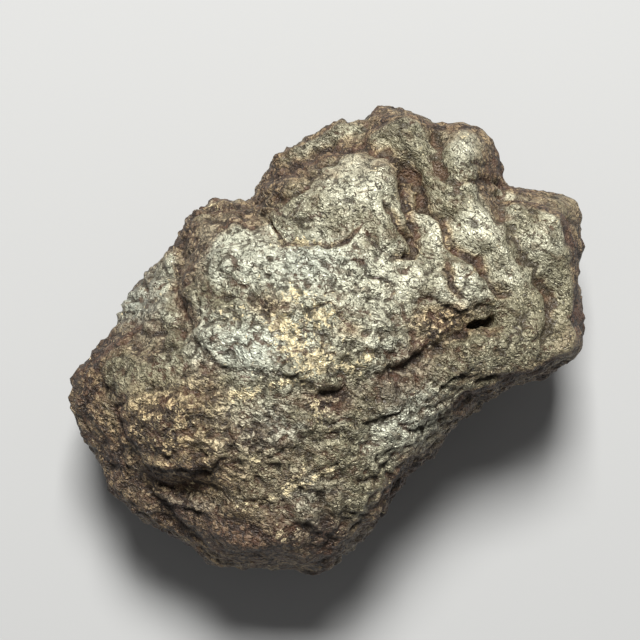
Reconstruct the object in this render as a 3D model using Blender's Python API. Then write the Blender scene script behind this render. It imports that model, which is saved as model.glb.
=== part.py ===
"""Ureilite meteorite: one natural stone, lying on a small flat spot on its back.

+X runs along the longest extent and +Z points away from the resting spot, so the side with the dome,
the folds and the slit hole faces up. The origin is the middle of the stone's footprint, on the
surface it rests on. Sizes and places below are in millimetres, and the mesh is made in metres.
"""

import math
from collections import namedtuple

import bmesh
import bpy
import numpy as np
from mathutils import Vector, noise

MM = 0.001

LENGTH = 59.8
WIDTH = 54.8
THICKNESS = 34.0

CELLS = 28
BACK_SHOULDER = 0.6
RIM_FADE = 2.0
POLE_PULL = 1.25

ROUNDED_SPREAD = 16.0
ROUNDED_SAMPLES = 9
NOTCH_FADE = 1.2

FRONT_BASE = 12.0
FRONT_TILT = 0.13
BACK_BASE = 12.5
FLAT_CUT = 1.2

LUMP_SIZE = 6.5
FRONT_LUMP_HEIGHT = 0.3
BACK_LUMP_HEIGHT = 0.7
GRAIN_SIZE = 3.0
GRAIN_HEIGHT = 0.32
GRAIN_SHIFT = (7.0, 3.0, 5.0)
EDGE_ROUGHNESS = 0.25
FACE_ROUGHNESS = 2.5
SIDE_LUMP_SIZE = 11.0
SIDE_LUMP_DEPTH = 0.075
SIDE_LUMP_MIDDLE = 0.4
SIDE_REACH = 4.0

Swell = namedtuple("Swell", "name x y length width turn height")
Groove = namedtuple("Groove", "name depth half_width path")
Facet = namedtuple("Facet", "name facing depth slope")

# The outline seen from above, anticlockwise on the side that faces up, starting at the right.
OUTLINE = (
    (29.6, 0.5), (29.4, 4.6), (29.1, 6.9), (29.4, 8.4), (29.9, 10.5), (29.5, 12.6), (29.5, 13.7),
    (29.1, 15.4), (27.8, 16.6), (25.6, 17.3), (24.2, 17.2), (21.9, 17.7), (20.3, 18.1), (19.9, 19.1),
    (19.5, 20.8), (19.8, 21.5), (19.2, 23.0), (18.5, 24.5), (17.3, 25.6), (15.9, 25.7), (14.4, 25.3),
    (13.5, 25.6), (11.7, 25.8), (10.3, 26.6), (8.4, 27.3), (6.5, 27.4), (5.2, 26.5), (3.8, 25.4),
    (2.2, 25.8), (0.9, 26.0), (-0.3, 25.3), (-1.9, 24.4), (-3.4, 23.2), (-5.3, 22.0), (-6.7, 21.3),
    (-7.3, 19.7), (-8.3, 18.0), (-9.1, 16.2), (-10.2, 16.1), (-13.0, 16.5), (-14.7, 15.6), (-16.3, 14.0),
    (-17.4, 12.7), (-18.4, 10.6), (-20.9, 8.3), (-23.4, 5.8), (-24.4, 3.4), (-25.3, 1.1), (-26.2, 0.1),
    (-27.4, -1.3), (-27.8, -2.5), (-29.0, -3.0), (-29.9, -4.7), (-29.6, -6.5), (-29.4, -8.9),
    (-28.6, -11.0), (-27.6, -13.4), (-26.4, -14.9), (-25.2, -17.3), (-23.7, -18.7), (-22.3, -20.9),
    (-20.7, -21.9), (-18.7, -23.4), (-16.0, -24.6), (-14.4, -26.0), (-12.1, -26.9), (-9.1, -26.9),
    (-5.6, -27.2), (-2.1, -27.4), (0.5, -26.5), (2.1, -25.2), (3.7, -23.5), (5.2, -22.3), (5.6, -21.3),
    (6.3, -20.1), (7.1, -18.7), (8.4, -17.0), (10.0, -15.5), (11.9, -13.6), (12.6, -12.3), (13.6, -11.0),
    (15.3, -9.5), (17.0, -8.2), (17.7, -7.2), (20.1, -6.2), (22.0, -5.4), (23.8, -4.8), (26.3, -3.7),
    (27.6, -2.5), (29.1, -1.3),
)

# How high the widest line runs at eight bearings, from the right and anticlockwise.
RIM_HEIGHTS = (-0.5, -1.5, -2.5, -1.5, -4.0, -2.0, 0.5, -2.5)

# How squarely the upper side meets the widest line at the same bearings: a low number is a square edge.
SHOULDERS = (0.5, 0.5, 0.46, 0.52, 0.6, 0.55, 0.6, 0.46)

FRONT_SWELLS = (
    Swell("main swell", -3.0, 0.0, 18.0, 14.0, 35.0, 4.4),
    Swell("left lobe", -12.2, 9.8, 5.0, 4.6, 0.0, 2.0),
    Swell("dome", 4.6, 17.6, 5.4, 4.8, 20.0, 3.4),
    Swell("dome apron", -3.4, 15.6, 3.6, 2.8, -10.0, 1.4),
    Swell("upper main face", -1.5, 9.4, 7.0, 2.8, 5.0, 0.9),
    Swell("top lobe", 8.6, 25.0, 2.6, 2.0, -10.0, 3.0),
    Swell("upper right lobe", 15.4, 22.2, 3.6, 3.2, 0.0, 3.6),
    Swell("shoulder right of the dome", 7.6, 12.6, 2.6, 2.0, 70.0, 1.6),
    Swell("tongue", 11.9, 13.6, 3.2, 1.1, -62.0, 1.2),
    Swell("right shoulder", 16.6, 13.6, 4.6, 3.2, 80.0, 2.6),
    Swell("right lobe", 25.0, 11.6, 5.0, 3.4, 80.0, 2.2),
    Swell("lump at the right tip", 27.4, -0.4, 2.4, 1.8, 30.0, 1.6),
    Swell("lump above the hole", 15.2, 6.4, 2.6, 2.1, 20.0, 1.6),
    Swell("lip under the hole", 20.0, -0.8, 4.6, 1.6, -10.0, 0.5),
    Swell("lower right ridge", 13.9, -5.2, 3.4, 1.3, 38.0, 0.7),
    Swell("lower right shelf", 8.6, -10.8, 4.0, 1.6, 45.0, 1.0),
    Swell("rough hollow", 12.6, 2.2, 3.4, 1.9, 15.0, -1.9),
    Swell("hole", 17.8, 1.9, 1.7, 1.0, 15.0, -3.2),
    Swell("knob in the main face", -4.4, 4.6, 1.8, 1.6, 0.0, 0.9),
    Swell("knob near the middle", 3.7, 2.3, 2.0, 1.7, 0.0, 0.9),
    Swell("knob over the dark patch", -2.7, -3.5, 2.3, 1.6, 0.0, 1.2),
    Swell("dark patch", -2.4, -6.2, 2.4, 1.3, 0.0, -1.1),
    Swell("small knob", -6.2, -7.0, 1.7, 1.5, 0.0, 0.8),
    Swell("pale hump", -13.1, -0.2, 2.8, 2.0, -35.0, 0.9),
    Swell("second pale hump", -8.6, -2.4, 3.0, 1.8, -15.0, 0.7),
    Swell("ledge above the bottom", -9.0, -12.4, 3.6, 1.4, 5.0, 0.9),
    Swell("left flank", -22.5, 3.0, 4.5, 6.5, 35.0, -3.4),
    Swell("flank hump", -23.0, 3.6, 2.0, 1.3, 30.0, 1.4),
    Swell("flank knob", -25.1, -1.0, 1.8, 1.5, 0.0, 1.4),
    Swell("flank cushion", -20.1, -2.2, 2.4, 1.9, 0.0, 1.2),
    Swell("nodule", -18.3, -0.1, 1.3, 1.1, 0.0, 0.8),
    Swell("brown cheek", -19.5, -10.0, 5.0, 4.4, 20.0, 2.2),
    Swell("brow", -16.8, -15.2, 4.4, 1.2, 0.0, 1.6),
    Swell("dark hollow", -16.8, -17.4, 4.2, 1.2, -3.0, -4.0),
    Swell("shelf under the hollow", -18.0, -19.0, 3.4, 0.9, -8.0, 1.0),
    Swell("lower band", -17.8, -20.6, 3.4, 0.9, -5.0, -1.6),
    Swell("smooth belly", -7.5, -24.0, 6.0, 2.6, -5.0, 1.2),
    Swell("far left lobe", -28.2, -7.0, 1.6, 3.6, 0.0, 1.6),
)

FRONT_GROOVES = (
    Groove("valley behind the dome", 2.4, 1.2, (
        (-7.3, 19.1), (-5.6, 20.3), (-3.3, 21.1), (-1.5, 22.0), (0.2, 22.8), (3.7, 23.1), (5.5, 22.5),
        (7.2, 21.8), (8.6, 20.2), (9.2, 18.9), (9.4, 17.4), (9.6, 15.4), (9.9, 13.9), (10.1, 12.2),
    )),
    Groove("fold of the tongue", 2.0, 1.0, (
        (9.0, 19.9), (10.7, 17.4), (12.1, 14.9), (13.6, 12.7), (14.9, 10.5), (17.4, 9.6),
    )),
    Groove("fold right of the dome", 1.0, 0.8, (
        (6.5, 16.1), (7.8, 13.9), (9.4, 11.6), (9.8, 9.8), (7.4, 9.6),
    )),
    Groove("crease under the dome", 1.0, 0.9, (
        (-7.7, 14.5), (-5.8, 11.8), (-3.3, 11.2), (0.2, 10.9), (3.1, 12.7), (3.7, 13.2),
    )),
    Groove("left groove", 2.0, 1.1, (
        (-17.0, 12.5), (-17.4, 9.2), (-18.1, 5.8), (-17.8, 4.0), (-16.5, 1.7),
    )),
    Groove("far left groove", 1.5, 1.0, (
        (-27.9, -3.0), (-26.9, -4.5), (-26.2, -6.5), (-24.7, -8.0), (-24.4, -11.1),
    )),
    Groove("right lobe groove", 1.9, 1.1, (
        (19.5, 16.2), (21.3, 13.5), (22.0, 11.3), (22.8, 9.0), (24.8, 6.9), (26.0, 3.4), (25.7, 0.3),
    )),
    Groove("short fold", 1.0, 0.85, (
        (17.1, 8.7), (18.8, 6.9), (20.9, 4.8),
    )),
    Groove("valley from the hole", 0.9, 1.2, (
        (19.5, 2.4), (16.3, 1.5), (13.6, -0.2), (10.7, -2.2), (7.6, -3.9),
    )),
    Groove("dip between the top lobes", 1.8, 1.2, (
        (12.6, 24.8), (12.9, 22.0), (12.4, 19.0),
    )),
    Groove("crease in the lower right", 1.0, 0.9, (
        (13.0, -5.9), (15.7, -4.5), (19.0, -4.6),
    )),
)

BACK_SWELLS = (
    Swell("heel", -0.4, -0.6, 18.0, 15.0, 35.0, 5.0),
    Swell("underside of the top lobes", 12.0, 17.0, 9.0, 7.0, 35.0, -2.6),
    Swell("thumbprint near the heel", -14.0, 7.0, 5.0, 4.0, 30.0, -1.8),
    Swell("thumbprint at the right", 15.5, 4.0, 5.2, 3.6, 75.0, -1.7),
    Swell("thumbprint at the bottom", -8.0, -19.0, 4.6, 3.6, 10.0, -1.5),
    Swell("thumbprint under the dome", 3.5, 14.0, 4.2, 3.2, -20.0, -1.4),
    Swell("thumbprint at the left", -21.5, -8.0, 3.6, 4.4, 15.0, -1.4),
    Swell("ridge between thumbprints", 6.8, 7.5, 6.5, 1.8, 125.0, 1.1),
    Swell("lower right knuckle", 8.0, -9.0, 4.0, 3.0, 45.0, 1.4),
)

# Broad flat faces that cut the back: the bearing they face, their depth at the middle and their fall.
BACK_FACETS = (
    Facet("face towards the upper right", 45.0, 17.4, 0.36),
    Facet("face towards the bottom", 262.0, 19.0, 0.44),
    Facet("face towards the left", 165.0, 20.0, 0.42),
    Facet("face towards the lower right", 318.0, 18.4, 0.50),
)
FACET_SOFTNESS = 1.1

STONE_COLOUR = (0.24, 0.21, 0.155, 1.0)
STONE_ROUGHNESS = 0.5


def outline_radius(bearing):
    """How far the outline lies from the middle at each bearing, in radians."""
    points = np.array(OUTLINE)
    bearings = np.arctan2(points[:, 1], points[:, 0])
    order = np.argsort(bearings)
    reach = np.hypot(points[:, 0], points[:, 1])
    return np.interp(bearing, bearings[order], reach[order], period=2 * math.pi)


def by_bearing(bearing, values):
    """A value that runs evenly between its stations, which stand at equal steps round the stone."""
    stations = np.arange(len(values)) * 2 * math.pi / len(values)
    return np.interp(bearing, stations, values, period=2 * math.pi)


def swell_height(x, y, swells):
    """The sum of rounded humps, and of hollows where a height is negative."""
    total = np.zeros_like(x)
    for swell in swells:
        turn = math.radians(swell.turn)
        along = (x - swell.x) * math.cos(turn) + (y - swell.y) * math.sin(turn)
        across = (y - swell.y) * math.cos(turn) - (x - swell.x) * math.sin(turn)
        total += swell.height * np.exp(-(along / swell.length) ** 2 - (across / swell.width) ** 2)
    return total


def path_distance(x, y, path):
    """The distance from each point to the nearest place on a path of straight runs."""
    nearest = np.full_like(x, np.inf)
    for (x0, y0), (x1, y1) in zip(path, path[1:]):
        run_x = x1 - x0
        run_y = y1 - y0
        part = ((x - x0) * run_x + (y - y0) * run_y) / (run_x**2 + run_y**2)
        part = np.clip(part, 0.0, 1.0)
        nearest = np.minimum(nearest, np.hypot(x - x0 - part * run_x, y - y0 - part * run_y))
    return nearest


def groove_depth(x, y, grooves):
    """The sum of rounded grooves that follow their paths."""
    total = np.zeros_like(x)
    for groove in grooves:
        total += groove.depth * np.exp(-(path_distance(x, y, groove.path) / groove.half_width) ** 2)
    return total


def front_height(x, y):
    """The height of the side that faces up, before it rounds off to the rim."""
    base = FRONT_BASE - FRONT_TILT * np.maximum(y, 0.0)
    return base + swell_height(x, y, FRONT_SWELLS) - groove_depth(x, y, FRONT_GROOVES)


def back_depth(x, y):
    """The depth of the underside: a rounded heel cut by broad faces whose edges are softened."""
    depth = BACK_BASE + swell_height(x, y, BACK_SWELLS)
    for facet in BACK_FACETS:
        facing = math.radians(facet.facing)
        face = facet.depth - facet.slope * (x * math.cos(facing) + y * math.sin(facing))
        depth = -FACET_SOFTNESS * np.logaddexp(-depth / FACET_SOFTNESS, -face / FACET_SOFTNESS)
    return depth


def side_radius(bearing, lift):
    """The outline's reach, whose notches fade away down the side of the stone."""
    exact = outline_radius(bearing)
    turns = np.radians(np.linspace(-ROUNDED_SPREAD, ROUNDED_SPREAD, ROUNDED_SAMPLES))
    rounded = np.mean([outline_radius(bearing + turn) for turn in turns], axis=0)
    kept = np.clip(1.0 + NOTCH_FADE * lift, 0.0, 1.0)
    return rounded + (exact - rounded) * kept


def stone_points(directions):
    """Where the surface lies in each direction: outline, front, back, and hollows in the sides."""
    from_pole = np.arccos(np.clip(np.abs(directions[:, 2]), 0.0, 1.0)) / (math.pi / 2)
    from_pole = from_pole**POLE_PULL * math.pi / 2
    level = np.sin(from_pole)
    lift = np.cos(from_pole) * np.sign(directions[:, 2])
    bearing = np.arctan2(directions[:, 1], directions[:, 0])
    side = np.clip(SIDE_REACH * np.abs(lift) * level**2, 0.0, 1.0)
    hollow = np.array([noise.noise(Vector(d) * LENGTH / 2 / SIDE_LUMP_SIZE) for d in directions])
    dented = 1.0 - SIDE_LUMP_DEPTH * side * (SIDE_LUMP_MIDDLE + hollow)
    shoulder = np.where(lift > 0, by_bearing(bearing, SHOULDERS), BACK_SHOULDER)
    reach = side_radius(bearing, lift) * level**shoulder * dented
    x = reach * np.cos(bearing)
    y = reach * np.sin(bearing)
    height = np.where(lift > 0, front_height(x, y), -back_depth(x, y))
    z = height * np.abs(lift) ** shoulder + by_bearing(bearing, RIM_HEIGHTS) * level**RIM_FADE
    return np.column_stack((x, y, z))


def roughness(point):
    """The uneven lumps and coarse grain of the crust at a point."""
    lumps = noise.fractal(Vector(point) / LUMP_SIZE, 1.0, 2.0, 2)
    grain = noise.noise(Vector(point) / GRAIN_SIZE + Vector(GRAIN_SHIFT))
    lump_height = FRONT_LUMP_HEIGHT if point[2] > 0 else BACK_LUMP_HEIGHT
    return lump_height * lumps + GRAIN_HEIGHT * grain


def fit_to_box(points):
    """Cuts the flat spot, then sizes the stone to its box with its footprint centred on the origin."""
    points[:, 2] = np.maximum(points[:, 2], points[:, 2].min() + FLAT_CUT)
    low = points.min(axis=0)
    high = points.max(axis=0)
    middle = np.array(((low[0] + high[0]) / 2, (low[1] + high[1]) / 2, low[2]))
    return (points - middle) * np.array((LENGTH, WIDTH, THICKNESS)) / (high - low)


def divided_cube(cells):
    """A cube with a grid on each face, evened out so that its directions are evenly spread."""
    mesh = bmesh.new()
    bmesh.ops.create_cube(mesh, size=2.0)
    bmesh.ops.subdivide_edges(mesh, edges=mesh.edges[:], cuts=cells - 1, use_grid_fill=True)
    for vertex in mesh.verts:
        vertex.co = Vector([math.tan(part * math.pi / 4) for part in vertex.co]).normalized()
    return mesh


def move_vertices(mesh, points):
    """Puts the mesh's vertices at the given points and renews its normals."""
    for vertex, point in zip(mesh.verts, points):
        vertex.co = point
    mesh.normal_update()


def stone_mesh():
    """The closed surface of the stone, in metres."""
    mesh = divided_cube(CELLS)
    directions = np.array([vertex.co[:] for vertex in mesh.verts])
    points = stone_points(directions)
    move_vertices(mesh, points)
    facing = np.array([vertex.normal[:] for vertex in mesh.verts])
    amount = np.array([roughness(point) for point in points])
    amount *= np.clip(np.abs(facing[:, 2]) * FACE_ROUGHNESS, EDGE_ROUGHNESS, 1.0)
    points = fit_to_box(points + facing * amount[:, None])
    move_vertices(mesh, points * MM)
    bmesh.ops.triangulate(mesh, faces=mesh.faces[:], quad_method="SHORT_EDGE")
    data = bpy.data.meshes.new("stone")
    mesh.to_mesh(data)
    mesh.free()
    return data


def stone_material():
    """Brown-grey crust with a soft sheen."""
    material = bpy.data.materials.new("stone crust")
    material.use_nodes = True
    shader = material.node_tree.nodes["Principled BSDF"]
    shader.inputs["Base Color"].default_value = STONE_COLOUR
    shader.inputs["Roughness"].default_value = STONE_ROUGHNESS
    shader.inputs["Metallic"].default_value = 0.0
    return material


def make_stone():
    """The whole meteorite, as one object."""
    stone = bpy.data.objects.new("meteorite", stone_mesh())
    stone.data.materials.append(stone_material())
    stone.data.shade_smooth()
    bpy.context.scene.collection.objects.link(stone)
    return stone


for leftover in list(bpy.data.objects):
    bpy.data.objects.remove(leftover, do_unlink=True)

make_stone()
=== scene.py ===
"""Ureilite meteorite: the crumpled crust, its material, the light and the camera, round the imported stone.

One fine mesh stands for the stone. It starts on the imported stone's own surface. The folds, ledges, cracks
and knobs that the photograph shows are pressed into it, and then it is crumpled all over. The stone's sizes
are in millimetres until its mesh is made, and the setting's are in metres.
"""

import math
from collections import namedtuple
from types import SimpleNamespace

import bmesh
import bpy
import numpy as np
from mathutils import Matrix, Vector, noise
from mathutils.bvhtree import BVHTree


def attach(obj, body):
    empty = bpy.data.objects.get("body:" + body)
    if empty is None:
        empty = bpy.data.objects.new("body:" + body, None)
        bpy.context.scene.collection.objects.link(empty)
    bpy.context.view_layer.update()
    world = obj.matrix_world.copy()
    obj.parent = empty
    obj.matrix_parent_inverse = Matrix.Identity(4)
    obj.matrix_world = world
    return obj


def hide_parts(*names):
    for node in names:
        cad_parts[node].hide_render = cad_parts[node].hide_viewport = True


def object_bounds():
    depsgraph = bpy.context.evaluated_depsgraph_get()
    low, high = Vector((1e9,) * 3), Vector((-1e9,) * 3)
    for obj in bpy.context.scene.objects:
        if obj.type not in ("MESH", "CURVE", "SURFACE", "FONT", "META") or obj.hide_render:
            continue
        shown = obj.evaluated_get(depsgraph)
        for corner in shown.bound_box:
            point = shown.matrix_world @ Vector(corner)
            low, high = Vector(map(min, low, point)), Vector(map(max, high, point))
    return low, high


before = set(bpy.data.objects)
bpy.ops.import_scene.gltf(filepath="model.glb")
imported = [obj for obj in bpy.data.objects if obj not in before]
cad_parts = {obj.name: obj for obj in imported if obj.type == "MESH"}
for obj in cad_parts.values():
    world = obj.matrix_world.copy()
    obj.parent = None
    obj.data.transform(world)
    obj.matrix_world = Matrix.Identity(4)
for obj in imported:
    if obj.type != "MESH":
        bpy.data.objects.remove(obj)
cad_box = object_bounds()

MM = 0.001
scene = bpy.context.scene

# The photograph: its side, its scale, and the pixel where the stone's origin is seen.
PICTURE_SIDE = 640
PIXELS_PER_MM = 8.6
ORIGIN_PIXEL = (328.0, 339.5)

# The camera, above the level where the stone is widest. The scale holds on that level.
WIDEST_LEVEL = 16.0
CAMERA_RISE = 250.0
SENSOR = 36.0

# The fine mesh: a cube's cells along each edge, the rays that carry its points to the stone, and the share
# of its square in the baking map that each face of the cube fills.
CELLS = 127
RAY_START = (0.0, 0.0, 14.0)
SPREAD_TO_RIM = 0.15
SPREAD_TO_FRONT = 0.10
MAP_FILL = 0.98

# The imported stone's surface: how near two corners are, in metres, to be one, and how often its facets
# are halved to round it.
WELD_REACH = 1e-6
HALVINGS = 2

# Rounds of smoothing. The last three tell pits and valleys from what lies round them.
EVENING_ROUNDS = 6
FACING_ROUNDS = 3
DETAIL_ROUNDS = 6
NEAR_ROUNDS = 12
WIDE_ROUNDS = 150

# How far up a place faces where the front begins and where it is full, and how far down for the flank's
# painted shade.
FRONT_FACING = (-0.05, 0.25)
FLANK_SHADE_FACING = (-0.8, -0.4)

# How much of the flank's painted shade a pale patch keeps off, and how much the imported stone's own
# hollows count as valleys.
PALE_KEEPS_OFF = 0.8
SUNKEN_SHARE = 0.6

# The levels between which the crumpling sets in, so that the flat spot stays flat.
RESTING_LEVELS = (0.3, 2.0)

# The shapes of strokes. Their ends fade over a share of the path's length. A groove's fade starts a little
# past its path's end, and leaves it a share of its depth there.
END_FADE = 0.15
PAST_ENDS = 0.1
END_SHARE = 0.4
GROOVE_STEEPNESS = 1.6
GAP_DEPTH = 0.35
GAP_DROPS = 1.3
LEDGE_SPREAD = 2.5
KNOB_STEEPNESS = 3
MOAT_RADIUS = 1.35
MOAT_HALF_WIDTH = 0.3

# The painted shade along the bottoms of grooves and in the gaps under ledges.
GROOVE_SEAM_SHADE = 0.85
GROOVE_SEAM_STEEPNESS = 3
LEDGE_SEAM_SHADE = 0.8
LEDGE_SEAM_DROPS = 1.1
LEDGE_SEAM_WIDTH = 0.8

# Noise: sizes, reaches and heights are in millimetres, and a shift keeps one noise apart from the next.
Drift = namedtuple("Drift", "size reach shift")
Lumps = namedtuple("Lumps", "size octaves shift")
Uneven = namedtuple("Uneven", "middle swing size shift")
Cloud = namedtuple("Cloud", "size shift low high amount")

AXIS_SHIFTS = (0.0, 37.0, 71.0)
COARSE_DRIFT = Drift(4.0, 0.9, 0.0)
FINE_DRIFT = Drift(1.8, 0.6, 20.0)
WANDER_SIZE = 1.4
WANDER_REACH = 0.45
WANDER_SHIFTS = (3.0, 8.0)
STROKE_STRENGTH = Uneven(1.3, 0.65, 2.5, 13.0)
# How strongly the flank's painted shade is laid on, changing from place to place.
FLANK_SHADE_STRENGTH = Uneven(0.75, 0.6, 6.0, 31.0)

# The crumpled crust. Its creases run along the grain.
LARGE_LUMPS = Lumps(5.0, 1, 0.0)
CREASES = Lumps(2.6, 2, 40.0)
BUMPS = Lumps(1.1, 1, 50.0)
RUBBLE = Lumps(1.0, 2, 60.0)
RUBBLE_FALL = 0.7
LUMP_HEIGHT = 0.8
CREASE_HEIGHT = 0.65
CALM_CREASE_HEIGHT = 0.2
BUMP_HEIGHT = 0.4
RUBBLE_HEIGHT = 0.2
MIDDLE_HEIGHT = 0.5
RUGGED_GAIN = 0.6
GRAIN_TURN = math.radians(-30)
GRAIN_STRETCH = 0.4

# The sides and the back, which the photograph doesn't show, have clouds in place of its patches.
BACK_BROWN = Cloud(13.0, 5.0, -0.1, 0.35, 1.0)
BACK_SMOOTH = Cloud(9.0, 11.0, 0.2, 0.5, 0.7)
BACK_PALE = Cloud(10.0, 17.0, -0.05, 0.4, 1.0)
BACK_COOL = Cloud(15.0, 23.0, -0.2, 0.3, 1.0)
BACK_OCHRE = Cloud(5.0, 29.0, 0.35, 0.75, 0.7)

# What the photograph shows. Places and paths are in its pixels, turns are in degrees, stains and amounts
# are shares, and all else is in millimetres. A groove is cut along its path, a ridge stands along it, and a
# ledge stands up on its left. A knob with a height below 0 is a pit.
Groove = namedtuple("Groove", "name depth half_width stain path")
Ridge = namedtuple("Ridge", "name height half_width path")
Ledge = namedtuple("Ledge", "name height reach drop path")
Knob = namedtuple("Knob", "name x y length width turn height moat")
Patch = namedtuple("Patch", "name x y length width turn amount")

GROOVES = (
    Groove("valley behind the dome", 0.9, 0.62, 1.0, (
        (265, 175), (280, 165), (300, 158), (315, 150), (330, 143), (360, 141), (375, 146), (390, 152),
        (402, 166), (407, 177), (408, 190), (410, 207), (413, 220), (415, 235),
    )),
    Groove("wrinkle band left of the dome", 0.5, 0.45, 0.5, (
        (340, 150), (325, 160), (310, 175), (300, 185), (285, 195), (272, 202),
    )),
    Groove("fold right of the dome", 0.8, 0.45, 0.8, (
        (384, 201), (392, 210), (395, 220), (400, 231), (409, 240), (415, 248), (412, 255), (403, 258),
        (392, 257),
    )),
    Groove("fold of the tongue", 1.0, 0.55, 0.85, (
        (404, 170), (415, 173), (420, 190), (424, 203), (432, 211), (441, 218), (445, 230), (447, 243),
        (456, 249), (470, 256), (478, 257),
    )),
    Groove("brown band under the tongue", 0.3, 0.5, 0.8, ((444, 261), (451, 283), (453, 295))),
    Groove("arc under the shoulder", 0.3, 0.3, 0.6, ((478, 262), (474, 270), (465, 275))),
    Groove("valley above the hole", 0.9, 0.55, 0.7, (
        (478, 257), (481, 262), (490, 280), (500, 294), (508, 298),
    )),
    Groove("short line in the top right lobe", 0.25, 0.18, 0.2, ((456, 155), (460, 159), (467, 165))),
    Groove("second line in the top right lobe", 0.25, 0.18, 0.2, ((475, 162), (486, 164))),
    Groove("line under the top right lobe", 0.4, 0.35, 0.4, (
        (440, 178), (455, 183), (470, 178), (490, 180), (498, 184),
    )),
    Groove("dip between the top lobes", 0.7, 0.7, 0.4, ((436, 126), (437, 146), (432, 160), (440, 178))),
    Groove("dark pit in the top lobe", 0.7, 0.5, 0.3, ((384, 137), (391, 131), (396, 136))),
    Groove("right lobe groove", 0.7, 0.7, 0.35, (
        (496, 200), (501, 214), (511, 223), (516, 234), (517, 242), (524, 262), (535, 267), (541, 280),
        (551, 293), (552, 310), (552, 325), (549, 337),
    )),
    Groove("groove at the right edge", 0.35, 0.5, 0.3, ((565, 215), (568, 230), (572, 245))),
    Groove("valley from the hole", 0.8, 0.75, 0.8, (
        (468, 327), (458, 335), (445, 341), (435, 350), (420, 358), (405, 365), (393, 373),
    )),
    Groove("crease in the lower right", 0.5, 0.3, 0.3, ((440, 390), (455, 380), (463, 378))),
    Groove("crease beside it", 0.4, 0.3, 0.3, ((480, 384), (495, 376))),
    Groove("slit in the lower flank", 0.5, 0.25, 0.2, ((404, 432), (409, 435), (419, 432), (423, 431))),
    Groove("crack in the lower face", 0.35, 0.2, 0.3, ((321, 425), (328, 428), (340, 422), (346, 420))),
    Groove("dark rim of the left lobe", 0.35, 0.5, 1.0, ((203, 208), (215, 207), (240, 206), (258, 203))),
    Groove("step between the left lobe and the main face", 0.5, 0.3, 0.9, (
        (262, 215), (272, 228), (278, 238), (285, 244), (300, 243), (318, 242), (330, 246), (345, 240),
        (355, 230), (360, 226),
    )),
    Groove("thin crack under the dome", 0.25, 0.15, 0.5, ((364, 230), (371, 242), (379, 253))),
    Groove("left groove", 0.5, 0.5, 0.8, (
        (182, 232), (180, 245), (178, 260), (174, 275), (172, 290), (175, 305), (180, 315), (186, 325),
    )),
    Groove("far left groove", 0.5, 0.55, 0.8, ((88, 365), (97, 378), (103, 395), (117, 400), (118, 435))),
    Groove("second dark band", 0.6, 0.5, 1.0, ((150, 503), (165, 512), (182, 516), (204, 521))),
    Groove("row of small ledges", 0.35, 0.22, 0.5, ((195, 294), (206, 292), (216, 299), (234, 298))),
    Groove("crescent under the grey lobe", 0.45, 0.22, 0.3, (
        (296, 316), (301, 327), (308, 334), (315, 331), (318, 323),
    )),
    Groove("arc over the ochre scale", 0.4, 0.2, 0.6, (
        (310, 314), (318, 305), (328, 302), (335, 308), (340, 319),
    )),
    Groove("small ledge in the main face", 0.35, 0.22, 0.3, (
        (275, 377), (284, 381), (292, 378), (298, 370),
    )),
    Groove("dark seam under the pale lump", 0.35, 0.45, 0.9, (
        (303, 396), (315, 399), (330, 394), (346, 398),
    )),
    Groove("seam left of the main face", 0.3, 0.3, 0.5, ((190, 342), (200, 352), (214, 366), (232, 374))),
    Groove("first wrinkle in the dome", 0.22, 0.16, 0.2, ((318, 190), (330, 198), (345, 197), (352, 206))),
    Groove("second wrinkle in the dome", 0.2, 0.14, 0.3, ((350, 211), (358, 212), (368, 208))),
    Groove("third wrinkle in the dome", 0.16, 0.14, 0.4, ((350, 190), (358, 189), (368, 187))),
)

LEDGES = (
    Ledge("brow over the rough hollow", 0.35, 2.2, 0.3, (
        (405, 305), (412, 297), (425, 296), (436, 298), (446, 303), (456, 308), (463, 306), (472, 311),
    )),
    Ledge("scale", 0.45, 1.4, 0.2, (
        (351, 255), (361, 258), (365, 265), (368, 273), (373, 277), (384, 279), (396, 281),
    )),
    Ledge("brow over the dark hollow", 0.6, 2.0, 0.35, (
        (146, 463), (160, 469), (175, 471), (195, 472), (215, 473),
    )),
    Ledge("fold at the top of the left lobe", 0.35, 1.2, 0.2, (
        (312, 233), (300, 229), (290, 223), (280, 218), (270, 208), (258, 204),
    )),
    Ledge("lip of the belly crack", 0.25, 1.2, 0.16, (
        (228, 507), (241, 503), (253, 500), (274, 497), (290, 484), (313, 474), (347, 459),
    )),
    Ledge("ledge in the lower flank", 0.4, 1.6, 0.3, ((355, 426), (371, 421), (383, 417), (400, 407))),
    Ledge("brow of the top lobe", 0.4, 1.2, 0.3, ((418, 118), (404, 127), (392, 128), (380, 134))),
)

RIDGES = (
    Ridge("ridge beside the lower right crease", 0.35, 0.25, ((430, 393), (448, 383), (465, 370))),
    Ridge("pale ridge in the cheek", 0.4, 0.35, ((176, 401), (186, 411), (197, 416))),
    Ridge("pale ridge over the lower left", 0.35, 0.3, (
        (220, 447), (235, 440), (250, 438), (272, 443),
    )),
    Ridge("pale thread beside the scale", 0.2, 0.15, ((384, 258), (392, 269), (397, 279))),
    Ridge("pale lip of the hole", 0.4, 0.3, ((476, 318), (484, 314), (495, 311))),
    Ridge("second step under the dome", 0.3, 0.35, ((325, 252), (342, 240), (358, 226))),
    Ridge("pale thread in the flank", 0.2, 0.2, ((200, 325), (190, 335), (182, 350))),
    Ridge("pale thread on the belly", 0.3, 0.22, (
        (232, 512), (253, 505), (274, 502), (287, 494), (295, 486), (315, 479), (347, 464),
    )),
)

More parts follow.
